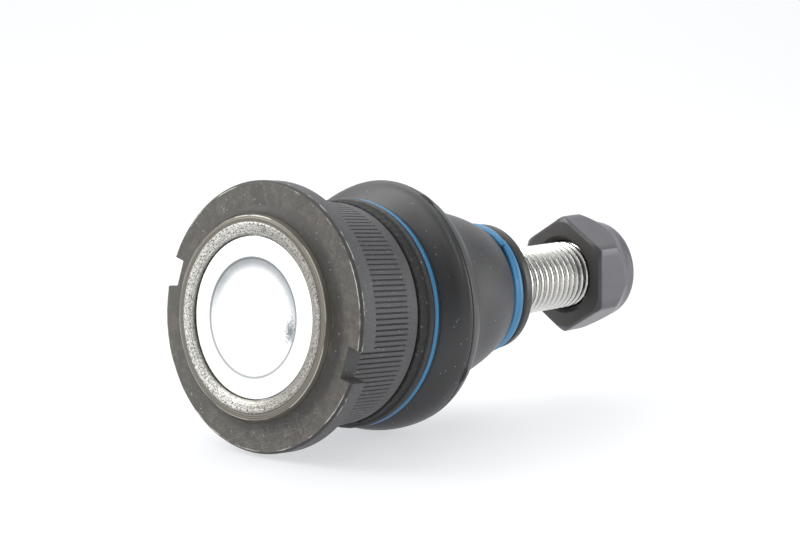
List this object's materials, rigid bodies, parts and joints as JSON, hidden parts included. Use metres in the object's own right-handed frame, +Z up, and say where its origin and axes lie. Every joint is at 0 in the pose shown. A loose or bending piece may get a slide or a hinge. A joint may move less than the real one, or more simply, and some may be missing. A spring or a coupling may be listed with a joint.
{
  "type": "press-in suspension ball joint",
  "caption": "Press-in ball joint: flanged, knurled steel socket with a rubber boot, and a tapered swivelling stud with a threaded end and a hexagon lock nut.",
  "frame": {"origin": "middle of the bounding box's base: the joint lies on its side on z = 0, touching it with its flange and its boot", "axes": "+Z up, +X along the joint from the closing cover to the nut; the socket's axis dips 5 degrees towards the nut, and the stud is swung up and to -Y"},
  "size_m": [0.0982, 0.0516, 0.0505],
  "materials": {
    "phosphated_steel": "grey-brown phosphate coating, worn to bare metal on edges",
    "zinc_plate": "bright zinc plating",
    "white_acetal": "smooth white acetal",
    "spring_steel": "oiled spring steel",
    "black_rubber": "satin black rubber with a mould parting line",
    "blue_plastic": "blue retaining rings",
    "black_steel": "dark phosphated, oiled steel",
    "blue_nylon": "moulded nylon"
  },
  "bodies": {
    "housing": {"housing": "phosphated_steel", "cover_plate": "zinc_plate", "spring_ring": "spring_steel", "rear_ball_seat": "white_acetal", "front_ball_seat": "white_acetal", "boot_ring_large": "blue_plastic"},
    "boot": {"boot": "black_rubber"},
    "boot_neck": {"boot_ring_small": "blue_plastic"},
    "stud": {"ball_stud": "zinc_plate"},
    "nut_insert": {"lock_nut_insert": "blue_nylon"},
    "nut": {"lock_nut": "black_steel"}
  },
  "joints": [
    {"name": "swing_side", "type": "hinge", "parent": "housing", "child": "boot", "pos_m": [-0.03045, 0.00078, 0.02435], "axis": [0.0872, 0, 0.9962], "range_deg": [-7.2, 26.8], "deforming": ["boot"]},
    {"name": "swing_up", "type": "hinge", "parent": "boot", "child": "boot_neck", "pos_m": [-0.03045, 0.00078, 0.02435], "axis": [-0.1696, -0.9854, 0.0148], "range_deg": [-23.4, 10.6], "deforming": ["boot"]},
    {"name": "stud_spin", "type": "hinge", "parent": "boot_neck", "child": "stud", "pos_m": [-0.03045, 0.00078, 0.02435], "axis": [0.9853, -0.1691, 0.0257], "continuous": true},
    {"name": "nut_travel", "type": "slide", "parent": "stud", "child": "nut_insert", "axis": [0.9853, -0.1691, 0.0257], "range_m": [-0.018, 0.0105]},
    {"name": "nut_spin", "type": "hinge", "parent": "nut_insert", "child": "nut", "pos_m": [-0.03045, 0.00078, 0.02435], "axis": [0.9853, -0.1691, 0.0257], "range_deg": [-4320, 2520]}
  ],
  "couplings": [
    {"joint": "nut_travel", "follows": "nut_spin", "m_per_rad": 0.00023873}
  ]
}
